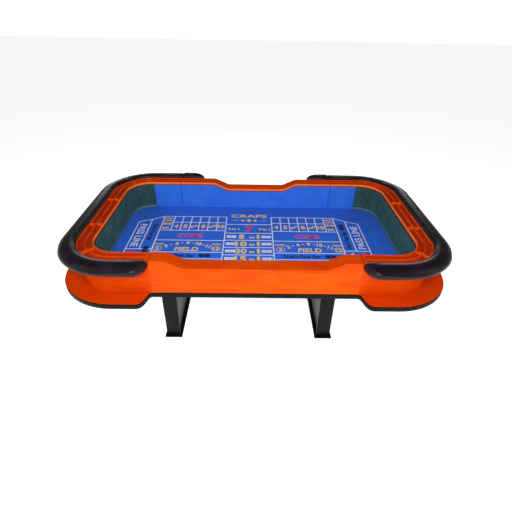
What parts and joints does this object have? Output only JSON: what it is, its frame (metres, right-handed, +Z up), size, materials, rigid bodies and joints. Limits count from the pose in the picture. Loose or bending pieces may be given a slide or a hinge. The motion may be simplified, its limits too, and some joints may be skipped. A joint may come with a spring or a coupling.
{
  "type": "craps table",
  "caption": "Dice table with a felt-lined tray, grooved chip rails, padded armrests and drink shelves, in sections that join over two pedestals.",
  "frame": {"origin": "on the floor, under the middle of the table", "axes": "+X along the table, +Y from front to back, +Z up"},
  "size_m": [2.44, 1.48, 0.975],
  "materials": {
    "cherry_wood": "gloss lacquer",
    "plywood": "bare",
    "dowel_beech": "bare",
    "black_edge": "satin black edging on board",
    "armrest_vinyl": "smooth black vinyl",
    "wall_felt": "short pile felt",
    "layout_felt": "printed felt",
    "bumper_rubber": "matt",
    "pedestal_plate": "satin black paint",
    "pedestal_board": "satin black paint",
    "pedestal_panel": "satin grey paint",
    "knob_plastic": "moulded"
  },
  "bodies": {
    "centre_section": {"back_apron": "cherry_wood", "back_inner_wall": "wall_felt", "back_left_armrest": "armrest_vinyl", "back_left_drink_shelf": "cherry_wood", "back_rail": "cherry_wood", "back_right_armrest": "armrest_vinyl", "back_right_drink_shelf": "cherry_wood", "centre_deck": "plywood", "centre_platform": "black_edge", "front_apron": "cherry_wood", "front_inner_wall": "wall_felt", "front_rail": "cherry_wood", "left_back_dowel": "dowel_beech", "left_front_dowel": "dowel_beech", "left_pedestal_back_board": "pedestal_board", "left_pedestal_foot_plate": "pedestal_plate", "left_pedestal_front_board": "pedestal_board", "left_pedestal_inner_panel": "pedestal_panel", "left_pedestal_outer_panel": "pedestal_panel", "left_pedestal_top_plate": "pedestal_plate", "playing_layout": "layout_felt", "right_back_dowel": "dowel_beech", "right_front_dowel": "dowel_beech", "right_pedestal_back_board": "pedestal_board", "right_pedestal_foot_plate": "pedestal_plate", "right_pedestal_front_board": "pedestal_board", "right_pedestal_inner_panel": "pedestal_panel", "right_pedestal_outer_panel": "pedestal_panel", "right_pedestal_top_plate": "pedestal_plate"},
    "left_section": {"left_apron": "cherry_wood", "left_armrest": "armrest_vinyl", "left_armrest_core": "plywood", "left_chip_divider_1": "cherry_wood", "left_chip_divider_2": "cherry_wood", "left_chip_divider_3": "cherry_wood", "left_chip_divider_4": "cherry_wood", "left_chip_rail": "cherry_wood", "left_deck": "plywood", "left_drink_shelf": "cherry_wood", "left_inner_wall": "wall_felt", "left_platform": "black_edge", "left_rubber_bumper": "bumper_rubber"},
    "right_section": {"right_apron": "cherry_wood", "right_armrest": "armrest_vinyl", "right_armrest_core": "plywood", "right_chip_divider_1": "cherry_wood", "right_chip_divider_2": "cherry_wood", "right_chip_divider_3": "cherry_wood", "right_chip_divider_4": "cherry_wood", "right_chip_rail": "cherry_wood", "right_deck": "plywood", "right_drink_shelf": "cherry_wood", "right_inner_wall": "wall_felt", "right_platform": "black_edge", "right_rubber_bumper": "bumper_rubber"},
    "left_front_hand_knob": {"left_front_knob": "knob_plastic"},
    "left_back_hand_knob": {"left_back_knob": "knob_plastic"},
    "right_front_hand_knob": {"right_front_knob": "knob_plastic"},
    "right_back_hand_knob": {"right_back_knob": "knob_plastic"}
  },
  "joints": [
    {"name": "left_section_pull_out", "type": "slide", "parent": "centre_section", "child": "left_section", "axis": [-1, 0, 0], "range_m": [0, 0.12]},
    {"name": "left_front_knob_turn", "type": "hinge", "parent": "left_section", "child": "left_front_hand_knob", "pos_m": [-0.709, -0.15, 0.674], "axis": [0, 0, 1], "continuous": true},
    {"name": "left_back_knob_turn", "type": "hinge", "parent": "left_section", "child": "left_back_hand_knob", "pos_m": [-0.709, 0.15, 0.674], "axis": [0, 0, 1], "continuous": true},
    {"name": "right_section_pull_out", "type": "slide", "parent": "centre_section", "child": "right_section", "axis": [1, 0, 0], "range_m": [0, 0.12]},
    {"name": "right_front_knob_turn", "type": "hinge", "parent": "right_section", "child": "right_front_hand_knob", "pos_m": [0.657, -0.15, 0.674], "axis": [0, 0, 1], "continuous": true},
    {"name": "right_back_knob_turn", "type": "hinge", "parent": "right_section", "child": "right_back_hand_knob", "pos_m": [0.657, 0.15, 0.674], "axis": [0, 0, 1], "continuous": true}
  ]
}
